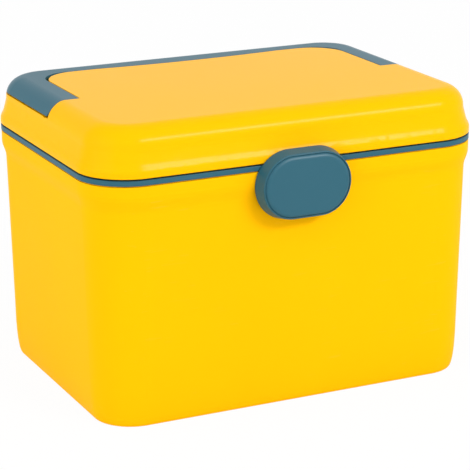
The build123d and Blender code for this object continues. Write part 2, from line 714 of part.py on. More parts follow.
# Latch cover: hollow cap set into the lever's rim, with a broad soft shoulder
def make_latch_cover():
    cover_inset = LATCH_RIM_WALL + COVER_GAP
    with BuildPart() as latch_cover:
        add(pill(cover_inset, LATCH_FACE, LATCH_SEAM))
        fillet(latch_cover.faces().sort_by(Axis.Y)[0].edges(), COVER_EDGE)
        hollow = pill(cover_inset + LATCH_WALL, LATCH_FACE + COVER_WALL, LATCH_SEAM + OVERRUN)
        add(hollow, mode=Mode.SUBTRACT)
    save(latch_cover.part, "latch_cover")


# Latch pin, pressed into the lid's two lugs
def make_latch_pin():
    with BuildPart() as latch_pin:
        add(cross_rod(LATCH_PIN_RADIUS, -LATCH_PIN_HALF, LATCH_PIN_HALF, LATCH_PIVOT_Y, LATCH_PIVOT_Z))
    save(latch_pin.part, "latch_pin")


# Latch spring: close-wound coil round the pin with a leg towards the lid
def make_latch_spring():
    first = -(SPRING_TURNS - 1) * SPRING_PITCH / 2
    last = -first
    leg_y = LATCH_PIVOT_Y + SPRING_RADIUS
    with BuildPart() as latch_spring:
        for turn in range(SPRING_TURNS):
            with BuildSketch(Plane.XZ.offset(-LATCH_PIVOT_Y)):
                with Locations((first + turn * SPRING_PITCH, LATCH_PIVOT_Z + SPRING_RADIUS)):
                    Circle(SPRING_WIRE)
            revolve(axis=Axis((0, LATCH_PIVOT_Y, LATCH_PIVOT_Z), (1, 0, 0)))
        for x, y in ((first, leg_y), (last, LATCH_PIVOT_Y - SPRING_RADIUS)):
            with BuildSketch(Plane.XY.offset(LATCH_PIVOT_Z - SPRING_LEG)):
                with Locations((x, y)):
                    Circle(SPRING_WIRE)
            extrude(amount=SPRING_LEG + SPRING_WIRE)
    save(latch_spring.part, "latch_spring")


def tray_inner(height):
    """Inset of the tray's inner wall at a height."""
    fall = (TRAY_TOP - height) / (TRAY_TOP - TRAY_BOTTOM)
    return TRAY_INSET + TRAY_WALL + TRAY_DRAFT * fall


# Tray: shallow insert that hangs by its flange on the rim band's ledge
def make_tray():
    outer_low = TRAY_INSET + TRAY_DRAFT
    inner_low = tray_inner(TRAY_FLOOR)
    wall = ring(
        [
            (TRAY_FLANGE_INSET, TRAY_TOP),
            (TRAY_FLANGE_INSET, TRAY_TOP - TRAY_FLANGE),
            (TRAY_INSET, TRAY_TOP - TRAY_FLANGE),
            (outer_low, TRAY_BOTTOM + TRAY_FOOT),
            (outer_low + TRAY_FOOT, TRAY_BOTTOM),
            (CORE_INSET + OVERRUN, TRAY_BOTTOM),
            (CORE_INSET + OVERRUN, TRAY_FLOOR),
            (inner_low + TRAY_FOOT, TRAY_FLOOR),
            (inner_low, TRAY_FLOOR + TRAY_FOOT),
            (TRAY_INSET + TRAY_WALL, TRAY_TOP),
        ]
    )
    slot = TRAY_DIVIDER / 2 + SLOT_GAP
    reach_x = SIDE - tray_inner(TRAY_BOTTOM) - SLOT_DEPTH
    reach_y = REAR - tray_inner(TRAY_BOTTOM) - SLOT_DEPTH
    deep_x = SIDE - TRAY_INSET - TRAY_DRAFT
    deep_y = REAR - TRAY_INSET - TRAY_DRAFT
    with BuildPart() as tray:
        add(wall)
        with BuildSketch(Plane.XY.offset(TRAY_BOTTOM)):
            RectangleRounded(*rounded(CORE_INSET))
        extrude(amount=TRAY_WALL)
        for edge in (-1, 1):
            near = edge * slot
            far = edge * (slot + SLOT_RIB)
            for side in (-1, 1):
                middle = side * TRAY_CROSS_X
                add(block(side * reach_x, side * deep_x, near, far, TRAY_FLOOR, TRAY_DIVIDER_TOP))
                add(block(middle + near, middle + far, -reach_y, -deep_y, TRAY_FLOOR, TRAY_DIVIDER_TOP))
            add(block(near, far, reach_y, deep_y, TRAY_FLOOR, TRAY_DIVIDER_TOP))
        for side in (-1, 1):
            tab_out = side * at(TAB_INSET)
            tab_in = side * at(TAB_INSET + TRAY_WALL)
            low = TRAY_TOP - TRAY_FLANGE
            add(block(tab_in, tab_out, -TAB_HALF_WIDTH, TAB_HALF_WIDTH, low, TRAY_TOP + TAB_HEIGHT))
    save(tray.part, "tray")


def divider(name, plane, corners, thick):
    """Upright plate from the corners of its face."""
    with BuildPart() as plate:
        with BuildSketch(plane) as face:
            with BuildLine():
                Polyline(*corners, close=True)
            make_face()
        extrude(amount=thick / 2, both=True)
    save(plate.part, name)


# Tray dividers: one along the tray and three short ones from it to the walls
def make_tray_dividers():
    low = TRAY_FLOOR + DIVIDER_LIFT
    high = TRAY_DIVIDER_TOP
    foot = tray_inner(low) + TRAY_FOOT + SLIDE_GAP
    head = tray_inner(high) + SLIDE_GAP
    rise = low + TRAY_FOOT
    divider(
        "tray_divider_long",
        Plane.XZ,
        [
            (-at(foot), low),
            (at(foot), low),
            (at(tray_inner(rise) + SLIDE_GAP), rise),
            (at(head), high),
            (-at(head), high),
            (-at(tray_inner(rise) + SLIDE_GAP), rise),
        ],
        TRAY_DIVIDER,
    )
    near = TRAY_DIVIDER / 2 + SLIDE_GAP
    corners = [
        (near, low),
        (REAR - foot, low),
        (REAR - tray_inner(rise) - SLIDE_GAP, rise),
        (REAR - head, high),
        (near, high),
    ]
    mirrored = [(-y, z) for y, z in corners]
    divider("tray_divider_rear", Plane.YZ, corners, TRAY_DIVIDER)
    divider("tray_divider_front_left", Plane.YZ.offset(-TRAY_CROSS_X), mirrored, TRAY_DIVIDER)
    divider("tray_divider_front_right", Plane.YZ.offset(TRAY_CROSS_X), mirrored, TRAY_DIVIDER)


# Lower dividers: two plates that slide down between the tub's ribs
def make_lower_dividers():
    low = FLOOR_TOP + DIVIDER_LIFT
    draft = (CURVE_INSET - WAIST_INSET) / (FLARE_BOTTOM - CURVE_TOP)
    top_inset = CURVE_INSET - draft * (LOWER_DIVIDER_TOP - CURVE_TOP)
    foot = REAR - FLOOR_CORNER_INSET - SLIDE_GAP
    bend = REAR - CURVE_INSET - BODY_WALL - SLIDE_GAP
    head = REAR - top_inset - BODY_WALL - SLIDE_GAP
    corners = [
        (-foot, low),
        (foot, low),
        (bend, CURVE_TOP),
        (head, LOWER_DIVIDER_TOP),
        (FINGER_NOTCH, LOWER_DIVIDER_TOP),
        (FINGER_NOTCH / 2, LOWER_DIVIDER_TOP - FINGER_NOTCH / 2),
        (-FINGER_NOTCH / 2, LOWER_DIVIDER_TOP - FINGER_NOTCH / 2),
        (-FINGER_NOTCH, LOWER_DIVIDER_TOP),
        (-head, LOWER_DIVIDER_TOP),
        (-bend, CURVE_TOP),
    ]
    for side, name in ((-1, "lower_divider_left"), (1, "lower_divider_right")):
        divider(name, Plane.YZ.offset(side * LOWER_DIVIDER_X), corners, LOWER_DIVIDER)


make_body_shell()
make_rim_band()
make_hinge_pins()
lid_outer = make_lid_shell()
make_handle(lid_outer)
make_handle_pins()
make_lid_liner()
make_gasket()
make_screws()
make_latch_lever()
make_latch_cover()
make_latch_pin()
make_latch_spring()
make_tray()
make_tray_dividers()
make_lower_dividers()
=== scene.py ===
# %% [markdown]
# # A medicine storage box
# The box is a yellow moulded tub and lid with slate blue trim: a thin rim band, a flush
# handle and a pill-shaped latch. Inside are a tray, dividers and a white liner. All parts
# come packed at their true size and place, in metres, so most need no modelling here. This
# script lights the box, dresses its parts in their plastics, makes a finer gasket and finer
# screws for the lid, and looks at it all from the direction of the photograph.

# %% Load the frame
import json
import math

import bmesh
import bpy
import numpy as np
from mathutils import Matrix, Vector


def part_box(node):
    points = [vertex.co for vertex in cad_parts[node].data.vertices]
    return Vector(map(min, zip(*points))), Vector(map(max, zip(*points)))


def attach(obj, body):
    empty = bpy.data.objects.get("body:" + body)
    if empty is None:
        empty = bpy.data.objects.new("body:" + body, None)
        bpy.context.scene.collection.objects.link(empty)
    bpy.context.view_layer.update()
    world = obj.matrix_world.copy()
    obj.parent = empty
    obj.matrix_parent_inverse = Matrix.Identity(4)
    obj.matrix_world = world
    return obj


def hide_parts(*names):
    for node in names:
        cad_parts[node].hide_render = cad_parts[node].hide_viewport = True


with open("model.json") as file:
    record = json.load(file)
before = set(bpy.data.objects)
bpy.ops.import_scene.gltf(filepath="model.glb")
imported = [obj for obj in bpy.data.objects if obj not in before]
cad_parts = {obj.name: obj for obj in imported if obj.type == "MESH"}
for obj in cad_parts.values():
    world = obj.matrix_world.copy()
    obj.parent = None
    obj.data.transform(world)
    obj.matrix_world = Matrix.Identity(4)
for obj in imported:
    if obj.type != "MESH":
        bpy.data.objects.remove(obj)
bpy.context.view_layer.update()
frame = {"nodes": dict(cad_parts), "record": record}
nodes = frame["nodes"]

# %% [markdown]
# ## Camera
# The photograph was taken with a long lens from the front left, a little above the lid. A
# camera could be turned by hand until the picture looks right, but an error of a degree
# shows in every edge. So its numbers come from a fit to the outline of the box in the
# photograph. The camera is placed by a matrix, whose columns are its right, up and back
# directions and its place. The lamps are placed by the same helper. Lens and sensor are in
# millimetres, as a camera has them, and all else is in metres.

# %% Place the camera
AZIMUTH = math.radians(-25.51)
ELEVATION = math.radians(16.90)
ROLL = math.radians(0.26)
DISTANCE = 1.34358
TARGET = np.array([-0.00557, -0.01495, 0.08990])
FOCAL_PIXELS = 2041.41
PICTURE_PIXELS = 470
SENSOR_WIDTH = 36.0
CLIP_END = 50.0


def new_object(name, content):
    """Object at the origin that holds a camera, a lamp or a mesh."""
    holder = bpy.data.objects.new(name, content)
    bpy.context.collection.objects.link(holder)
    return holder


def placement(right, up, back, place):
    """Matrix whose columns are an object's right, up and back directions and its place."""
    matrix = np.eye(4)
    matrix[:3] = np.column_stack([right, up, back, place])
    return Matrix(matrix.tolist())


def camera_placement():
    """Back follows from azimuth and elevation. Right and up are level, turned by the roll."""
    back = np.array(
        [
            math.sin(AZIMUTH) * math.cos(ELEVATION),
            -math.cos(AZIMUTH) * math.cos(ELEVATION),
            math.sin(ELEVATION),
        ]
    )
    level = np.cross(-back, [0, 0, 1])
    level /= np.linalg.norm(level)
    down = np.cross(-back, level)
    right = math.cos(ROLL) * level + math.sin(ROLL) * down
    up = math.sin(ROLL) * level - math.cos(ROLL) * down
    return placement(right, up, back, TARGET + back * DISTANCE)


camera = new_object("camera", bpy.data.cameras.new("camera"))
camera.data.sensor_width = SENSOR_WIDTH
camera.data.lens = SENSOR_WIDTH * FOCAL_PIXELS / PICTURE_PIXELS
camera.data.clip_end = CLIP_END
camera.matrix_world = camera_placement()
bpy.context.scene.camera = camera
print("camera at", [round(v, 3) for v in camera.matrix_world.translation])

# %% [markdown]
# ## White surroundings
# The photograph is a product picture: even light from all sides and a plain white ground.
# White walls could be built round the box, but then their whiteness and the light on the box
# would hang together. Here the world lights the box evenly instead, and light path nodes
# show plain white in its place to the camera and in reflections. The floor uses the same
# nodes. The Standard view shows colours as they are worked out, so that white stays white.

# %% Make the white world
WORLD_LIGHT = 0.90
WHITE = (1.0, 1.0, 1.0, 1.0)


def feed(tree, socket, value):
    """Link a socket to another one, or give it a plain number or colour."""
    if isinstance(value, bpy.types.NodeSocket):
        tree.links.new(value, socket)
    else:
        socket.default_value = value


def math_node(tree, operation, first, second):
    """Result of one step of arithmetic on two values, each a socket or a number."""
    node = tree.nodes.new("ShaderNodeMath")
    node.operation = operation
    feed(tree, node.inputs[0], first)
    feed(tree, node.inputs[1], second)
    return node.outputs[0]


def light_path_white(tree, lit, white, surface, share):
    """Mix the white shader into the lit one by a share, for the rays that see or mirror it.

    Those are camera, glossy and transmission rays. All others get the lit shader alone.
    """
    path = tree.nodes.new("ShaderNodeLightPath")
    seen = path.outputs["Is Camera Ray"]
    for kind in ("Is Glossy Ray", "Is Transmission Ray"):
        seen = math_node(tree, "MAXIMUM", seen, path.outputs[kind])
    mix = tree.nodes.new("ShaderNodeMixShader")
    feed(tree, mix.inputs["Fac"], math_node(tree, "MULTIPLY", seen, share))
    feed(tree, mix.inputs[1], lit)
    feed(tree, mix.inputs[2], white)
    feed(tree, surface, mix.outputs[0])


def make_world():
    """Even light for the box, and plain white for the eye."""
    world = bpy.data.worlds.new("white studio")
    world.use_nodes = True
    bpy.context.scene.world = world
    tree = world.node_tree
    lit = tree.nodes["Background"]
    white = tree.nodes.new("ShaderNodeBackground")
    for shader, strength in ((lit, WORLD_LIGHT), (white, 1.0)):
        shader.inputs["Color"].default_value = WHITE
        shader.inputs["Strength"].default_value = strength
    surface = tree.nodes["World Output"].inputs["Surface"]
    light_path_white(tree, lit.outputs[0], white.outputs[0], surface, 1.0)


make_world()
bpy.context.scene.view_settings.view_transform = "Standard"
print("world light", WORLD_LIGHT)

# %% [markdown]
# ## Lamps
# Two lamps show in the photograph by what they draw on the box: a strip at the front right,
# with a line along the cove of the lid and a faint shadow left of the latch, and a broad,
# weak fill at the left. Each is a flat rectangle here that faces the box. One lamp can't do
# both jobs of the strip, because its line is much brighter than the light that it throws. So
# it is two lamps in one direction: the first gives light and shadow and isn't mirrored, and
# the second is seen in reflections only.

# %% Hang the lamps
LAMP_DISTANCE = 1.7
STRIP_DIRECTION = (0.370, -0.772, 0.518)
STRIP_LENGTH = 0.8
FILL_DIRECTION = (-0.95, -0.12, 0.28)
FILL_SIDE = 1.6


def softbox(name, direction, width, height, radiance):
    """Rectangular lamp that faces the box. Its power is radiance x pi x area."""
    lamp = bpy.data.lights.new(name, "AREA")
    lamp.shape = "RECTANGLE"
    lamp.size = width
    lamp.size_y = height
    lamp.energy = radiance * math.pi * width * height
    holder = new_object(name, lamp)
    back = np.array(direction) / np.linalg.norm(direction)
    side = np.cross([0, 0, 1], back)
    side /= np.linalg.norm(side)
    up = np.cross(back, side)
    holder.matrix_world = placement(side, up, back, TARGET + back * LAMP_DISTANCE)
    return holder


strip = softbox(
    "strip at the front right", STRIP_DIRECTION, STRIP_LENGTH, height=0.22, radiance=20.0
)
strip.visible_glossy = False
sheen = softbox("sheen of the strip", STRIP_DIRECTION, STRIP_LENGTH, height=0.25, radiance=60.0)
sheen.visible_diffuse = False
fill = softbox("fill at the left", FILL_DIRECTION, FILL_SIDE, FILL_SIDE, radiance=1.4)
print("lamp powers", [round(holder.data.energy, 1) for holder in (strip, sheen, fill)])

# %% [markdown]
# ## Floor
# The box stands on white paper. A curved backdrop could stand behind it, but with a white
# world a large flat square is enough. Nearly all that the camera sees of it is plain white,
# by the same light path nodes, and a small share is matt paint, which takes the soft shadow
# under the box.

# %% Lay the floor
FLOOR_REACH = 6.0
FLOOR_WHITE = 0.95
FLOOR_PAINT = (0.86, 0.86, 0.86, 1.0)
FLOOR_ROUGHNESS = 0.9
FLOOR_SPECULAR = 0.1


def mesh_piece(name, points, faces, material):
    """Object at the origin with a mesh made from arrays of points and of face corners."""
    mesh = bpy.data.meshes.new(name)
    mesh.from_pydata(points.tolist(), [], faces.tolist())
    mesh.materials.append(material)
    return new_object(name, mesh)


def floor_paint():
    """Matt pale paint, mostly hidden from the eye by plain white."""
    material = bpy.data.materials.new("studio floor")
    material.use_nodes = True
    tree = material.node_tree
    paint = tree.nodes["Principled BSDF"]
    paint.inputs["Base Color"].default_value = FLOOR_PAINT
    paint.inputs["Roughness"].default_value = FLOOR_ROUGHNESS
    paint.inputs["Specular IOR Level"].default_value = FLOOR_SPECULAR
    glow = tree.nodes.new("ShaderNodeEmission")
    glow.inputs["Strength"].default_value = 1.0
    surface = tree.nodes["Material Output"].inputs["Surface"]
    light_path_white(tree, paint.outputs[0], glow.outputs[0], surface, FLOOR_WHITE)
    return material


def make_floor():
    """Flat square at height zero, with its corners at plus and minus the reach."""
    corners = np.array([[-1, -1, 0], [1, -1, 0], [1, 1, 0], [-1, 1, 0]]) * FLOOR_REACH
    floor = mesh_piece("studio_floor", corners, np.array([[0, 1, 2, 3]]), floor_paint())


make_floor()
print("floor", 2 * FLOOR_REACH, "m wide")

# %% [markdown]
# ## Groups for the finishes
# Tub, lid, band, handle and latch are injection moulded. Three things make such plastic look
# real: a very fine grain, a gloss that isn't quite even, and small scuffs where the box is
# handled. Their nodes could be copied into every material, but a node group is built once
# and placed in each with its own values. Two helpers make a group's sockets and a noise. The
# noise reads the piece's own coordinates, so that it keeps its place on the plastic when the
# piece moves.

# %% Helpers for node groups


def new_group(name, inputs, output):
    """Shader group with one number as its output. Each input is a pair of title and default."""
    group = bpy.data.node_groups.new(name, "ShaderNodeTree")
    for title, value in inputs:
        socket = group.interface.new_socket(title, in_out="INPUT", socket_type="NodeSocketFloat")
        socket.default_value = value
    group.interface.new_socket(output, in_out="OUTPUT", socket_type="NodeSocketFloat")
    given = group.nodes.new("NodeGroupInput")
    result = group.nodes.new("NodeGroupOutput")
    return group, given.outputs, result.inputs[output]


def noise(tree, cells, detail, coordinates=None):
    """Noise between 0 and 1 with so many cells a metre, on Object coordinates by default."""
    if coordinates is None:
        coordinates = tree.nodes.new("ShaderNodeTexCoord").outputs["Object"]
    node = tree.nodes.new("ShaderNodeTexNoise")
    node.inputs["Detail"].default_value = detail
    feed(tree, node.inputs["Vector"], coordinates)
    feed(tree, node.inputs["Scale"], cells)
    return node.outputs["Fac"]


# %% [markdown]
# ## Grain
# The steel mould of such a box is eroded by sparks, which leaves a very fine, even grain on
# the plastic, and its large walls ripple a little as they cool. Bumps of that size would
# take millions of faces, and a picture of grain would repeat. So a fine noise and a little
# of a broad one are added up to a height, which the finishes turn into bump.

# %% Make the grain group
GRAIN_CELLS = 2600.0
RIPPLE_CELLS = 45.0
RIPPLE_SHARE = 0.35


def make_grain_group():
    """Height = fine grain + ripple share x broad ripple."""
    inputs = [("Grain Scale", GRAIN_CELLS), ("Ripple", RIPPLE_SHARE)]
    group, given, height = new_group("moulded grain", inputs, "Height")
    fine = noise(group, given["Grain Scale"], detail=3.0)
    broad = noise(group, RIPPLE_CELLS, detail=1.0)
    ripple = math_node(group, "MULTIPLY", broad, given["Ripple"])
    feed(group, height, math_node(group, "ADD", fine, ripple))
    return group


GRAIN = make_grain_group()
print("grain cells of", round(1000 / GRAIN_CELLS, 2), "mm")

# %% [markdown]
# ## Gloss
# A moulded wall isn't equally shiny all over. Its gloss drifts over a few centimetres and
# speckles from one millimetre to the next. A painted map could hold that, but it would need
# a flat layout of every part. Two noises, each less its middle so that it swings both ways,
# are added to the roughness instead.

# %% Make the gloss group
BASE_ROUGHNESS = 0.4
PATCH_CELLS = 22.0
PATCH_REACH = 0.06
SPECKLE_CELLS = 900.0
SPECKLE_REACH = 0.05
NOISE_MIDDLE = 0.5


def swing(group, cells, detail, reach):
    """Reach x (noise - its middle)."""
    centred = math_node(group, "SUBTRACT", noise(group, cells, detail), NOISE_MIDDLE)
    return math_node(group, "MULTIPLY", centred, reach)


def make_gloss_group():
    """Roughness = base value + swing of the slow patches + swing of the fine speckle."""
    inputs = [
        ("Roughness", BASE_ROUGHNESS),
        ("Patches", PATCH_REACH),
        ("Speckle", SPECKLE_REACH),
    ]
    group, given, roughness = new_group("uneven gloss", inputs, "Roughness")
    patches = swing(group, PATCH_CELLS, detail=4.0, reach=given["Patches"])
    speckle = swing(group, SPECKLE_CELLS, detail=2.0, reach=given["Speckle"])
    both = math_node(group, "ADD", patches, speckle)
    feed(group, roughness, math_node(group, "ADD", given["Roughness"], both))
    return group


GLOSS = make_gloss_group()
print("gloss patches of", round(1000 / PATCH_CELLS), "mm")

# %% [markdown]
# ## Scuffs
# A box that is carried about gets short, thin scuffs, a few here and there. They could be
# drawn one by one, but they are too faint for their places to matter. A noise that is
# stretched along one direction makes threads, and only their crests are kept. A second,
# broad noise keeps them to a few places.

# %% Make the scuff group
SCUFF_AMOUNT = 0.5
THREAD_CELLS = 700.0
THREAD_CREST = 0.68
THREAD_TURN = (0.3, 0.5, 0.4)
THREAD_STRETCH = (0.06, 1.0, 1.0)
PLACE_CELLS = 16.0
PLACE_CREST = 0.56


def make_scuff_group():
    """Mask = amount where both the thread noise and the place noise pass their crest, else 0."""
    group, given, mask = new_group("handling scuffs", [("Amount", SCUFF_AMOUNT)], "Mask")
    coordinates = group.nodes.new("ShaderNodeTexCoord")
    stretch = group.nodes.new("ShaderNodeMapping")
    stretch.inputs["Rotation"].default_value = THREAD_TURN
    stretch.inputs["Scale"].default_value = THREAD_STRETCH
    feed(group, stretch.inputs["Vector"], coordinates.outputs["Object"])
    threads = noise(group, THREAD_CELLS, detail=2.0, coordinates=stretch.outputs["Vector"])
    places = noise(group, PLACE_CELLS, detail=3.0)
    crests = math_node(group, "GREATER_THAN", threads, THREAD_CREST)
    chosen = math_node(group, "GREATER_THAN", places, PLACE_CREST)
    both = math_node(group, "MULTIPLY", crests, chosen)
    feed(group, mask, math_node(group, "MULTIPLY", both, given["Amount"]))
    return group


SCUFFS = make_scuff_group()
print("groups", [group.name for group in bpy.data.node_groups])

# %% [markdown]
# ## Recipe for plastic
# All plastics of the box are one recipe with their own values. The colour goes through the
# whole wall, so it only clouds by a few parts in a hundred, and pales in a scuff. The gloss
# is uneven, and the grain is a bump. No moulded edge is sharp, and a round one catches a
# thin line of light. Its roundness could be cut into the meshes, but they have to stay as
# packed, so a bevel node rounds the edges for the light alone.

# %% Make the recipe
CLOUD_CELLS = 9.0
CLOUDING = 0.03
SCUFF_KEEP = 0.5
SCUFF_LIFT = 0.45
GRAIN_STRENGTH = 0.6
EDGE_SAMPLES = 4


def place_group(tree, group, **values):
    """Put a group into a material, set its inputs by title, and give back its output."""
    node = tree.nodes.new("ShaderNodeGroup")
    node.node_tree = group
    for title, value in values.items():
        node.inputs[title].default_value = value
    return node.outputs[0]


def tint(colour, factor, lift=0.0):
    """Each channel x factor + lift, at most 1, with a full alpha."""
    return [min(1.0, channel * factor + lift) for channel in colour] + [1.0]


def colour_mix(tree, factor, first, second):
    """Mix of two colours. All three values are sockets or plain."""
    mix = tree.nodes.new("ShaderNodeMix")
    mix.data_type = "RGBA"
    for title, value in (("Factor", factor), ("A", first), ("B", second)):
        feed(tree, mix.inputs[title], value)
    return mix.outputs["Result"]


def plastic_colour(tree, colour, scuff_mask):
    """Colour that goes from darker to lighter by a cloud noise, and to pale under a scuff."""
    dark = tint(colour, 1.0 - CLOUDING)
    light = tint(colour, 1.0 + CLOUDING)
    pale = tint(colour, SCUFF_KEEP, SCUFF_LIFT)
    clouded = colour_mix(tree, noise(tree, CLOUD_CELLS, detail=3.0), dark, light)
    return colour_mix(tree, scuff_mask, clouded, pale)


def plastic_normal(tree, grain_depth, edge_radius):
    """Normal of the surface with its edges rounded, and the grain on top as bump."""
    rounded = tree.nodes.new("ShaderNodeBevel")
    rounded.samples = EDGE_SAMPLES
    rounded.inputs["Radius"].default_value = edge_radius
    bump = tree.nodes.new("ShaderNodeBump")
    bump.inputs["Distance"].default_value = grain_depth
    bump.inputs["Strength"].default_value = GRAIN_STRENGTH
    feed(tree, bump.inputs["Height"], place_group(tree, GRAIN))
    feed(tree, bump.inputs["Normal"], rounded.outputs["Normal"])
    return bump.outputs["Normal"]


def plastic(name, colour, roughness, specular, scuffs, grain_depth=0.00003, edge_radius=0.0004):
    """Moulded plastic: clouded colour, uneven gloss, fine grain, faint scuffs, round edges."""
    material = bpy.data.materials.new(name)
    material.use_nodes = True
    tree = material.node_tree
    shader = tree.nodes["Principled BSDF"]
    shader.inputs["Specular IOR Level"].default_value = specular
    scuff_mask = place_group(tree, SCUFFS, Amount=scuffs)
    gloss = place_group(tree, GLOSS, Roughness=roughness)
    feed(tree, shader.inputs["Base Color"], plastic_colour(tree, colour, scuff_mask))
    feed(tree, shader.inputs["Roughness"], math_node(tree, "ADD", gloss, scuff_mask))
    feed(tree, shader.inputs["Normal"], plastic_normal(tree, grain_depth, edge_radius))
    return material


# %% [markdown]
# ## Yellow of the tub and the lid
# Tub and lid are one yellow, but the tub is satin, while the cove of the lid mirrors the
# strip as a line. So the lid is smoother. Its green is also a touch lower, as painted shade:
# the lid faces the strip and takes more of its light than the tub, and the deeper yellow
# holds that back. The yellow has a full red and almost no blue. In a shadow it then loses
# its green first and turns orange, as in the photograph. Plastic could have its usual
# specular level of one half, but white surroundings would then lay a pale veil over the
# yellow. The photograph shows none, so the level is far lower, and the sheen lamp brings
# the highlight back.

# %% Yellow finishes
satin_yellow = plastic(
    "yellow polypropylene",
    colour=(0.955, 0.486, 0.001),
    roughness=0.42,
    specular=0.012,
    scuffs=0.02,
)
polished_yellow = plastic(
    "polished yellow polypropylene",
    # Painted shade: the green is a little under the tub's, to hold back the strip's extra light
    # on the lid.
    colour=(0.955, 0.472, 0.001),
    roughness=0.19,
    specular=0.022,
    scuffs=0.02,
    grain_depth=0.00002,
)
print("yellow finishes", satin_yellow.name, "and", polished_yellow.name)

# %% [markdown]
# ## Slate blue of the handle and the trim
# The handle is a plain satin slate. On the rim band and the latch the photograph shows more:
# a pale line along the latch's top shoulder and a sheen on the band. They could be painted
# on, but then they would stay where they are when the latch tips. A higher specular level
# and a wider rounding of the edges let the lamps draw them. The colour under them is a
# little deeper, so that the faces stay as dark as the handle's.

# %% Slate finishes
satin_slate = plastic(
    "slate blue polypropylene",
    colour=(0.034, 0.118, 0.160),
    roughness=0.32,
    specular=0.08,
    scuffs=0.04,
)
trim_slate = plastic(
    "slate blue trim",
    colour=(0.022, 0.106, 0.149),
    roughness=0.42,
    specular=0.20,
    scuffs=0.03,
    grain_depth=0.00002,
    edge_radius=0.0009,
)
print("slate finishes", satin_slate.name, "and", trim_slate.name)

# %% [markdown]
# ## Plastics of the inside
# The photograph shows nothing of the inside, so its colours are the usual ones: a white
# liner, a pale grey tray and frosted dividers. Frosted plastic could be made to let light
# through, but it scatters so much of it that it looks pale and solid. So the dividers get a
# plain pale colour, which also renders faster. None of the three is a full white, because
# that would burn out in this light and lose its edges.

# %% Finishes of the inside
liner_white = plastic(
    "white polypropylene",
    colour=(0.66, 0.66, 0.65),
    roughness=0.42,
    specular=0.4,
    scuffs=0.05,
)
tray_grey = plastic(
    "pale grey tray",
    colour=(0.56, 0.60, 0.63),
    roughness=0.35,
    specular=0.4,
    scuffs=0.06,
)
divider_frost = plastic(
    "frosted divider",
    colour=(0.54, 0.60, 0.64),
    roughness=0.45,
    specular=0.4,
    scuffs=0.06,
)
print("inside finishes", liner_white.name, "and", tray_grey.name, "and", divider_frost.name)

# %% [markdown]
# ## Silicone of the gasket
# The gasket is grey silicone rubber: matt, and clean, because nobody touches it in its
# groove. Rubber could have light scattered under its skin, but on a strip two millimetres
# wide that wouldn't show. So it is the same recipe with a rougher surface, a finer grain and
# no scuffs.

# %% Silicone finish
gasket_silicone = plastic(
    "silicone gasket",
    colour=(0.43, 0.44, 0.45),
    roughness=0.55,
    specular=0.35,
    scuffs=0.0,
    grain_depth=0.00002,
)
print("rubber finish", gasket_silicone.name)

# %% [markdown]
# ## Steel of the pins, the screws and the spring
# Pins, screws and the latch's spring are drawn steel, bright but not like a mirror. A metal
# has no colour under its gloss: it is all reflection. A shader of its own could be built for
# it, but the recipe does as well once it is set to fully metallic, with hardly any grain and
# with the scuffs that steel gets when it is fitted.

# %% Steel finish
drawn_steel = plastic(
    "drawn steel",
    colour=(0.50, 0.50, 0.51),
    roughness=0.28,
    specular=0.5,
    scuffs=0.1,
    grain_depth=0.00001,
)
drawn_steel.node_tree.nodes["Principled BSDF"].inputs["Metallic"].default_value = 1.0
print("metal finish", drawn_steel.name)

# %% [markdown]
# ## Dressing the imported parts
# The finishes could be set part by part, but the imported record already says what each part
# is made of. So a finish is looked up by that, and a short list names the four parts that
# differ. The meshes are left as they are.

# %% Dress the parts
FINISH_OF_SLOT = {
    "yellow_shell": satin_yellow,
    "blue_plastic": satin_slate,
    "white_plastic": liner_white,
    "tray_plastic": tray_grey,
    "clear_plastic": divider_frost,
    "gasket": gasket_silicone,
    "steel": drawn_steel,
}
FINISH_OF_PART = {
    "lid_shell": polished_yellow,
    "rim_band": trim_slate,
    "latch_cover": trim_slate,
    "latch_lever": trim_slate,
}
slots = {entry["node"]: entry["material_slot"] for entry in frame["record"]["subparts"]}
for name, node in nodes.items():
    node.data.materials.clear()
    node.data.materials.append(FINISH_OF_PART.get(name, FINISH_OF_SLOT[slots[name]]))
print("dressed", len(slots))

# %% [markdown]
# ## Line of the gasket
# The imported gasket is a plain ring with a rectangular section. The real one is a moulded
# silicone strip with a round lower edge. It could be a curve with a bevel, but then the
# curve decides where its points lie. Here it is a grid: one direction runs along the ring
# and the other round the section, so that two numbers give every point. First comes the line
# that it follows, a rounded rectangle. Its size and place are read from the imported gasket
# and the rim band, and only the strip's width and the band's corner radius are given here.

# %% Lay out the line
GASKET_WIDTH = 0.0022
RIM_CORNER = 0.033
RING_STEPS = 480


def rounded_rectangle(half_x, half_y, radius, count):
    """Points and outward directions along a rounded rectangle.

    The outline is a quarter circle at each corner and a straight side between two corners.
    It is walked by its length. Along an arc the direction turns and the centre stays. Along
    a side the direction stays and the centre moves to the next corner. Each point is its
    centre plus the radius times its direction.
    """
    signs = np.array([[1, 1], [-1, 1], [-1, -1], [1, -1], [1, 1]])
    centres = signs * [half_x - radius, half_y - radius]
    sides = np.abs(np.diff(centres, axis=0)).sum(axis=1)
    lengths = np.column_stack([np.full(4, radius * math.pi / 2), sides]).ravel()
    knots = np.concatenate([[0.0], np.cumsum(lengths)])
    quarters = np.repeat(np.arange(5), 2)
    turns = quarters[1:] * math.pi / 2
    stops = centres[quarters[:-1]]
    walk = np.linspace(0.0, knots[-1], count, endpoint=False)
    angle = np.interp(walk, knots, turns)
    place = np.column_stack([np.interp(walk, knots, stops[:, axis]) for axis in (0, 1)])
    outward = np.column_stack([np.cos(angle), np.sin(angle)])
    return place + radius * outward, outward


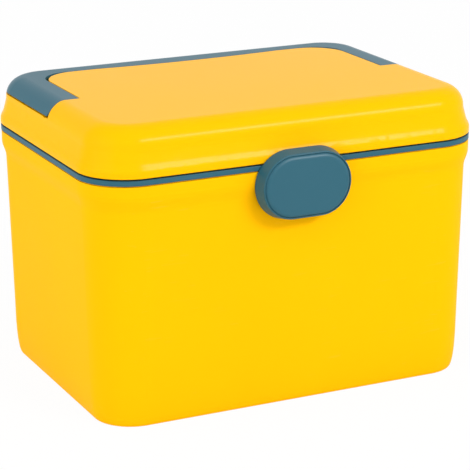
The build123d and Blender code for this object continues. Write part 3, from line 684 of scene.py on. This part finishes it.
gasket_low, gasket_high = (np.array(corner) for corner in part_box("lid_gasket"))
half_x, half_y = (gasket_high[:2] - gasket_low[:2]) / 2
middle = (gasket_high[:2] + gasket_low[:2]) / 2
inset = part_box("rim_band")[1][0] - half_x
half_width = GASKET_WIDTH / 2
line, outward = rounded_rectangle(
    half_x - half_width, half_y - half_width, RIM_CORNER - inset - half_width, RING_STEPS
)
print("line of the gasket", (1000 * np.ptp(line, axis=0)).round(1).tolist(), "mm")

# %% [markdown]
# ## Section of the gasket
# Below, the strip has a round bulb that closes on the upstand of the rim band. Above it the
# sides are upright, with shallow grooves that leave ribs between them, and the ribs hold the
# strip in the liner. The grooves could be cut out of a plain strip, but as a ripple in its
# outline they cost nothing and stay smooth.

# %% Draw the section
BULB_SHARE = 0.45
GROOVE_COUNT = 3
GROOVE_DEPTH = 0.00015
SECTION_STEPS = 24


def gasket_section(width, height):
    """Outline of the strip, as pairs of offset outward and height.

    The lower part is the bulb, half an ellipse as wide as the strip. Above it each side
    goes straight up, less a groove depth x (1 - cosine) / 2, and the top is flat.
    """
    bulb = BULB_SHARE * height
    turn = np.linspace(-math.pi, 0.0, SECTION_STEPS)
    lower = np.column_stack([np.cos(turn) * width / 2, bulb + np.sin(turn) * bulb])
    rise = np.linspace(0.0, 1.0, SECTION_STEPS)[1:]
    groove = GROOVE_DEPTH * (0.5 - 0.5 * np.cos(2 * math.pi * GROOVE_COUNT * rise))
    flank = np.column_stack([width / 2 - groove, bulb + rise * (height - bulb)])
    return np.concatenate([lower, flank, flank[::-1] * [-1, 1]])


section = gasket_section(GASKET_WIDTH, gasket_high[2] - gasket_low[2])
print("section of the gasket", (1000 * np.ptp(section, axis=0)).round(2).tolist(), "mm")

# %% [markdown]
# ## Gasket strip
# The section is carried along the line, which could be done by copies of it with faces
# bridged between them. As arrays it is one sum: each point is a point of the line plus its
# offset along the outward direction. The finished strip rides on the lid and stands for the
# packed gasket.

# %% Make the gasket strip


def grid_faces(rows, columns):
    """Faces of a grid that is closed both ways, row by row.

    Point c of row r has the number r x columns + c. A face runs from a point to the next
    row, then to the next column, and back.
    """
    row, column = np.meshgrid(np.arange(rows), np.arange(columns), indexing="ij")
    ahead = (row + 1) % rows
    beside = (column + 1) % columns
    corners = [(row, column), (ahead, column), (ahead, beside), (row, beside)]
    return np.stack([along * columns + across for along, across in corners], axis=-1)


def make_gasket_strip():
    """Point j of ring i is line point i plus section offset j outward, at section height j."""
    flat = (line + middle)[:, None, :] + section[None, :, :1] * outward[:, None, :]
    height = np.broadcast_to(gasket_low[2] + section[None, :, 1:], flat.shape[:2] + (1,))
    points = np.concatenate([flat, height], axis=2).reshape(-1, 3)
    faces = grid_faces(RING_STEPS, len(section)).reshape(-1, 4)
    strip = mesh_piece("gasket_strip", points, faces, gasket_silicone)
    strip.data.shade_smooth()
    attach(strip, "lid")
    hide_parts("lid_gasket")
    return strip


gasket_strip = make_gasket_strip()
print("gasket faces", len(gasket_strip.data.polygons))

# %% [markdown]
# ## Places of the liner screws
# Six equal pan head screws go up through the liner into bosses of the lid, and their heads
# show when the lid is open. Their places could be typed in, but if the box changed, those
# numbers would stay behind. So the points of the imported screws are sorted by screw, and each
# axis is the middle of its screw's points.

# %% Read the places of the screws


def packed_points(name):
    """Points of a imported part, one a row."""
    vertices = nodes[name].data.vertices
    flat = np.empty(3 * len(vertices), np.float32)
    vertices.foreach_get("co", flat)
    return flat.reshape(-1, 3)


def screw_axes(points):
    """Places of the axes, seen from above.

    The screws stand in three columns and two rows. A point's column is its x over the
    largest x, rounded, and its row is the sign of its y. An axis is in the middle of the
    points that share both.
    """
    column = np.rint(points[:, 0] / np.abs(points[:, 0]).max())
    cell = np.column_stack([column, np.sign(points[:, 1])])
    kinds, member = np.unique(cell, axis=0, return_inverse=True)
    parts = [points[member.ravel() == number, :2] for number in range(len(kinds))]
    return np.array([(part.min(axis=0) + part.max(axis=0)) / 2 for part in parts])


packed_screws = packed_points("liner_screws")
axes = screw_axes(packed_screws)
print("screws at", (1000 * axes).round(1).tolist())

# %% [markdown]
# ## One screw
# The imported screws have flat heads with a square-cut cross. A domed head with a sloping
# cross could be cut out with booleans, but those leave edges to clean up. Here the screw is
# a profile turned about its axis, and the cross is pressed into the dome by moving its
# points up, which needs a fine grid on the head alone.

# %% Work out one screw
SCREW_TURNS = 96
DOME_STEPS = 44
HEAD_RADIUS = 0.0030
HEAD_HEIGHT = 0.0015
DOME_RISE = 0.0005
SHAFT_RADIUS = 0.0015
TIP_LENGTH = 0.0020
CROSS_DEPTH = 0.0008
CROSS_HALF_WIDTH = 0.00048
CROSS_REACH = 0.0018
CROSS_SIDE_SLOPE = 0.00015
CROSS_END_SLOPE = 0.0006


def one_screw(low, high):
    """Points of one screw, row by row of its profile, each row a turn about the axis.

    The profile runs from the middle of the head outwards at low + dome rise x (r / R)^2,
    up the head's side, in to the shaft, up the shaft and in to the tip. In the cross the
    points go up by its depth x side x end. Side falls from 1 to 0 where the smaller of |x|
    and |y| nears the half width, and end where the larger one nears the reach.
    """
    dome = np.linspace(0.0, HEAD_RADIUS, DOME_STEPS)
    radius = np.concatenate([dome, [HEAD_RADIUS, SHAFT_RADIUS, SHAFT_RADIUS, 0.0]])
    head_top = low + HEAD_HEIGHT
    climb = [head_top, head_top, high - TIP_LENGTH, high]
    rise = np.concatenate([low + DOME_RISE * (dome / HEAD_RADIUS) ** 2, climb])
    turn = np.linspace(0.0, 2 * math.pi, SCREW_TURNS, endpoint=False)
    x = radius[:, None] * np.cos(turn)
    y = radius[:, None] * np.sin(turn)
    smaller = np.minimum(np.abs(x), np.abs(y))
    larger = np.maximum(np.abs(x), np.abs(y))
    side = np.clip((CROSS_HALF_WIDTH - smaller) / CROSS_SIDE_SLOPE, 0.0, 1.0)
    end = np.clip((CROSS_REACH - larger) / CROSS_END_SLOPE, 0.0, 1.0)
    press = CROSS_DEPTH * side * end
    press[DOME_STEPS:] = 0.0
    return np.stack([x, y, rise[:, None] + press], axis=-1).reshape(-1, 3)


screw = one_screw(packed_screws[:, 2].min(), packed_screws[:, 2].max())
print("screw", (1000 * np.ptp(screw, axis=0)).round(2).tolist(), "mm")

# %% [markdown]
# ## Set of liner screws
# The six copies could be six objects that share one mesh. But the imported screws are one
# part, so here they are one mesh too, which stands for that part and rides on the lid. Where
# the turned profile meets its axis, all points of a turn lie in one place, and they are
# welded so that the skin is closed.

# %% Make the liner screws
WELD_DISTANCE = 1e-7
TURNED_OVER = [0, 3, 2, 1]


def weld(mesh):
    """Merge the points that lie in one place."""
    shell = bmesh.new()
    shell.from_mesh(mesh)
    bmesh.ops.remove_doubles(shell, verts=shell.verts, dist=WELD_DISTANCE)
    shell.to_mesh(mesh)
    shell.free()


def make_liner_screws():
    """Copy k of the screw has its points plus axis k, and its faces plus k x its point count.

    The profile isn't closed, so the faces from its last row to the first are left out. The
    others are turned over, so that they point outwards.
    """
    moves = np.column_stack([axes, np.zeros(len(axes))])
    points = (screw[None] + moves[:, None]).reshape(-1, 3)
    skin = grid_faces(len(screw) // SCREW_TURNS, SCREW_TURNS)[:-1, :, TURNED_OVER]
    shifts = np.arange(len(axes)) * len(screw)
    faces = (skin.reshape(1, -1, 4) + shifts[:, None, None]).reshape(-1, 4)
    screws = mesh_piece("liner_screw_set", points, faces, drawn_steel)
    weld(screws.data)
    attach(screws, "lid")
    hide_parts("liner_screws")
    return screws


liner_screws = make_liner_screws()
print("screw faces", len(liner_screws.data.polygons))
